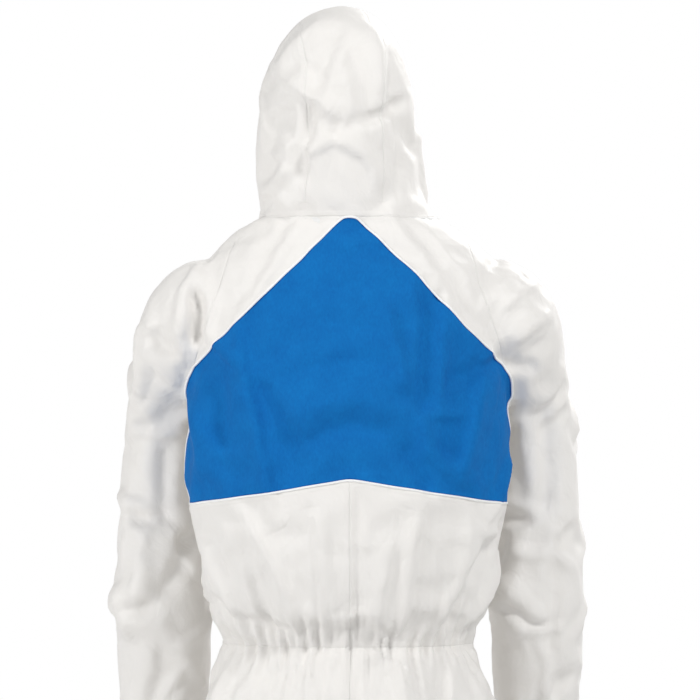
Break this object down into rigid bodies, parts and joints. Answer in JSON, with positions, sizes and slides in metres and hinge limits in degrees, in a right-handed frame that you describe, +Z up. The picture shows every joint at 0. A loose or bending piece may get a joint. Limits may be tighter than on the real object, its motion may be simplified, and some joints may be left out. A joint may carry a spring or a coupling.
{
  "type": "hooded disposable protective coverall",
  "caption": "Hooded white laminate protective coverall with a breathable blue back panel, elastic waist, knitted cuffs, elastic ankles and a two-way zip under a storm flap.",
  "frame": {"origin": "base of the neck on the centre line, level with the shoulder slopes, where the wearer carries the suit", "axes": "+Z up, -Y the way the wearer faces, +X the wearer's left"},
  "size_m": [0.5584, 0.2947, 1.752],
  "materials": {
    "white_laminate": "satin",
    "blue_nonwoven": "matte",
    "knit": "matte",
    "elastic": "matte",
    "seam_binding": "matte",
    "label": "satin",
    "release_paper": "satin",
    "zip_tape": "matte",
    "zip_coil": "satin",
    "zip_metal": "satin"
  },
  "bodies": {
    "root": {"back_vent_panel": "blue_nonwoven", "crotch_gusset": "white_laminate", "waist_elastic": "elastic", "neck_seam_tape": "seam_binding", "size_label": "label", "hood_neck": "white_laminate", "zip_top_stop": "zip_coil", "zip_bottom_stop": "zip_metal", "back_shoulder_left": "white_laminate", "back_waist_left": "white_laminate", "seat_left": "white_laminate", "front_chest_left": "white_laminate", "front_hips_left": "white_laminate", "sleeve_shoulder_left": "white_laminate", "leg_hip_left": "white_laminate", "zip_tape_left": "zip_tape", "zip_coil_left": "zip_coil", "back_shoulder_right": "white_laminate", "back_waist_right": "white_laminate", "seat_right": "white_laminate", "front_chest_right": "white_laminate", "front_hips_right": "white_laminate", "sleeve_shoulder_right": "white_laminate", "leg_hip_right": "white_laminate", "zip_tape_right": "zip_tape", "zip_coil_right": "zip_coil"},
    "hood": {"hood_centre_panel": "white_laminate", "hood_side_panel_left": "white_laminate", "hood_side_panel_right": "white_laminate", "hood_face_hem": "white_laminate"},
    "upper_arm_left": {"sleeve_upper_left": "white_laminate", "sleeve_elbow_left": "white_laminate"},
    "forearm_left": {"sleeve_forearm_left": "white_laminate", "knit_cuff_left": "knit"},
    "thigh_left": {"thigh_front_left": "white_laminate", "thigh_back_left": "white_laminate", "leg_knee_left": "white_laminate"},
    "shin_left": {"shin_front_left": "white_laminate", "shin_back_left": "white_laminate", "ankle_hem_left": "white_laminate"},
    "upper_arm_right": {"sleeve_upper_right": "white_laminate", "sleeve_elbow_right": "white_laminate"},
    "forearm_right": {"sleeve_forearm_right": "white_laminate", "knit_cuff_right": "knit"},
    "thigh_right": {"thigh_front_right": "white_laminate", "thigh_back_right": "white_laminate", "leg_knee_right": "white_laminate"},
    "shin_right": {"shin_front_right": "white_laminate", "shin_back_right": "white_laminate", "ankle_hem_right": "white_laminate"},
    "flap": {"storm_flap": "white_laminate", "flap_adhesive_strip": "release_paper"},
    "slider_upper": {"zip_slider_upper": "zip_metal"},
    "slider_lower": {"zip_slider_lower": "zip_metal"},
    "pull_upper": {"zip_pull_upper": "zip_metal"},
    "pull_lower": {"zip_pull_lower": "zip_metal"}
  },
  "joints": [
    {"name": "hood_fold", "type": "hinge", "parent": "root", "child": "hood", "pos_m": [0.01, 0.03, 0.12], "axis": [-1, 0, 0], "range_deg": [0, 55], "deforming": ["hood_neck"]},
    {"name": "shoulder_left", "type": "hinge", "parent": "root", "child": "upper_arm_left", "pos_m": [0.18, -0.006, -0.048], "axis": [0, -1, 0], "range_deg": [0, 75], "deforming": ["sleeve_shoulder_left"]},
    {"name": "elbow_left", "type": "hinge", "parent": "upper_arm_left", "child": "forearm_left", "pos_m": [0.225, -0.058, -0.35], "axis": [-1, 0, 0], "range_deg": [0, 90], "deforming": ["sleeve_elbow_left"]},
    {"name": "hip_left", "type": "hinge", "parent": "root", "child": "thigh_left", "pos_m": [0.097, 0, -0.565], "axis": [-1, 0, 0], "range_deg": [0, 60], "deforming": ["leg_hip_left"]},
    {"name": "knee_left", "type": "hinge", "parent": "thigh_left", "child": "shin_left", "pos_m": [0.109, -0.006, -0.98], "axis": [1, 0, 0], "range_deg": [0, 90], "deforming": ["leg_knee_left"]},
    {"name": "shoulder_right", "type": "hinge", "parent": "root", "child": "upper_arm_right", "pos_m": [-0.18, -0.006, -0.048], "axis": [0, 1, 0], "range_deg": [0, 75], "deforming": ["sleeve_shoulder_right"]},
    {"name": "elbow_right", "type": "hinge", "parent": "upper_arm_right", "child": "forearm_right", "pos_m": [-0.225, -0.058, -0.35], "axis": [-1, 0, 0], "range_deg": [0, 90], "deforming": ["sleeve_elbow_right"]},
    {"name": "hip_right", "type": "hinge", "parent": "root", "child": "thigh_right", "pos_m": [-0.097, 0, -0.565], "axis": [-1, 0, 0], "range_deg": [0, 60], "deforming": ["leg_hip_right"]},
    {"name": "knee_right", "type": "hinge", "parent": "thigh_right", "child": "shin_right", "pos_m": [-0.109, -0.006, -0.98], "axis": [1, 0, 0], "range_deg": [0, 90], "deforming": ["leg_knee_right"]},
    {"name": "storm_flap", "type": "hinge", "parent": "root", "child": "flap", "pos_m": [-0.024, -0.12417, -0.29409], "axis": [0, -0.0303, -0.9995], "range_deg": [0, 150]},
    {"name": "zip_upper", "type": "slide", "parent": "root", "child": "slider_upper", "axis": [0, -0.0303, -0.9995], "range_m": [0, 0.4]},
    {"name": "zip_lower", "type": "slide", "parent": "root", "child": "slider_lower", "axis": [0, 0.0303, 0.9995], "range_m": [0, 0.2]},
    {"name": "pull_upper", "type": "hinge", "parent": "slider_upper", "child": "pull_upper", "pos_m": [0, -0.11301, 0.03772], "axis": [-1, 0, 0], "range_deg": [0, 150]},
    {"name": "pull_lower", "type": "hinge", "parent": "slider_lower", "child": "pull_lower", "pos_m": [0, -0.1324, -0.60198], "axis": [-1, 0, 0], "range_deg": [0, 150]}
  ]
}
